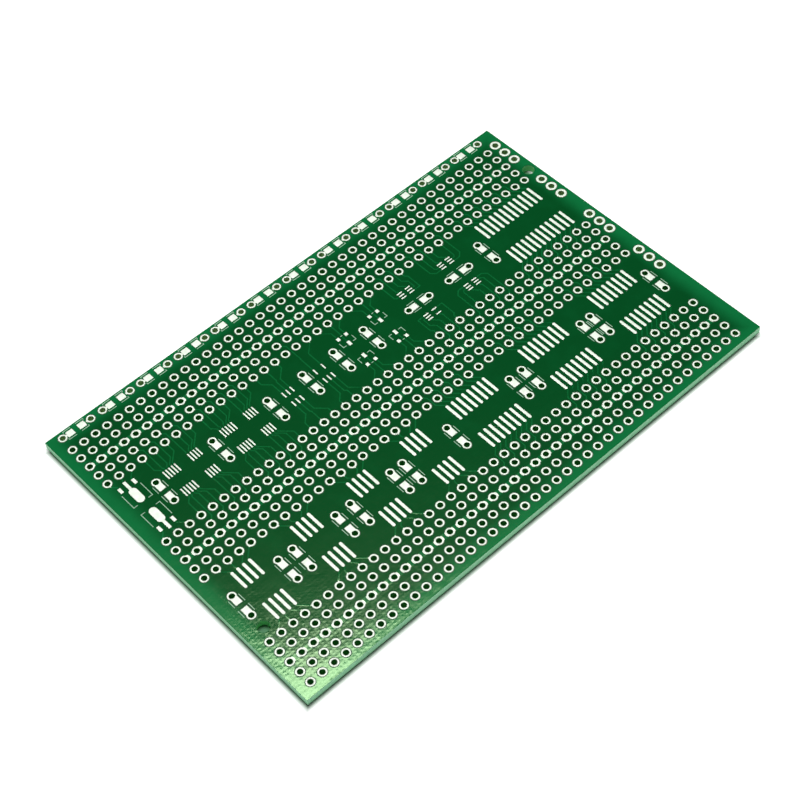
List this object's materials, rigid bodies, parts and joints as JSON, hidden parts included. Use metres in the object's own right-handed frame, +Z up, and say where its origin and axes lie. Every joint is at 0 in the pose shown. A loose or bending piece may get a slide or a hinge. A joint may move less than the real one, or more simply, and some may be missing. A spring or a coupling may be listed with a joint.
{
  "type": "surface-mount adapter board",
  "caption": "Green two-sided circuit board with strips of plated holes on a header grid and bands of tinned land patterns whose traces fan out to them, for wiring up surface-mount parts.",
  "frame": {"origin": "middle of the board's outline, on the surface that its underside lies on", "axes": "+X along the rows of holes towards the terminal holes, +Y across the rows towards the edge with the lamp lands, +Z up out of the face with the lands"},
  "size_m": [0.1084, 0.0706, 0.0016],
  "materials": {
    "laminate": "cut glass-epoxy laminate",
    "mask": "glossy green solder mask over the weave",
    "copper": "etched copper under the mask",
    "tin": "hot-levelled tin over copper",
    "ink": "screen-printed legend ink"
  },
  "bodies": {
    "root": {"laminate": "laminate", "solder_mask_top": "mask", "solder_mask_bottom": "mask", "upper_bus": "copper", "middle_bus": "copper", "lower_bus": "copper", "upper_strip_eyelets": "tin", "middle_strip_eyelets": "tin", "lower_strip_eyelets": "tin", "terminal_eyelets": "tin", "edge_row_lands": "tin", "upper_chip_lands": "tin", "level_chip_lands": "tin", "lower_chip_lands": "tin", "so24_lands": "tin", "sot6_lands": "tin", "sot5_lands": "tin", "so8_lands_1": "tin", "so8_lands_2": "tin", "so8_lands_3": "tin", "so8_lands_4": "tin", "so16_lands_1": "tin", "so16_lands_2": "tin", "so16_lands_3": "tin", "fine10_lands_1": "tin", "fine10_lands_2": "tin", "fine8_lands_1": "tin", "fine8_lands_2": "tin", "sot3_lands_1": "tin", "sot3_lands_2": "tin", "sot3_lands_3": "tin", "sot3_lands_4": "tin", "tiny_lands_1": "tin", "tiny_lands_2": "tin", "tiny_lands_3": "tin", "tiny_lands_4": "tin", "tab_lands_1": "tin", "tab_lands_2": "tin", "edge_row_legend": "ink", "chip_legend": "ink", "sot3_legend": "ink", "tab_legend": "ink"}
  },
  "joints": []
}
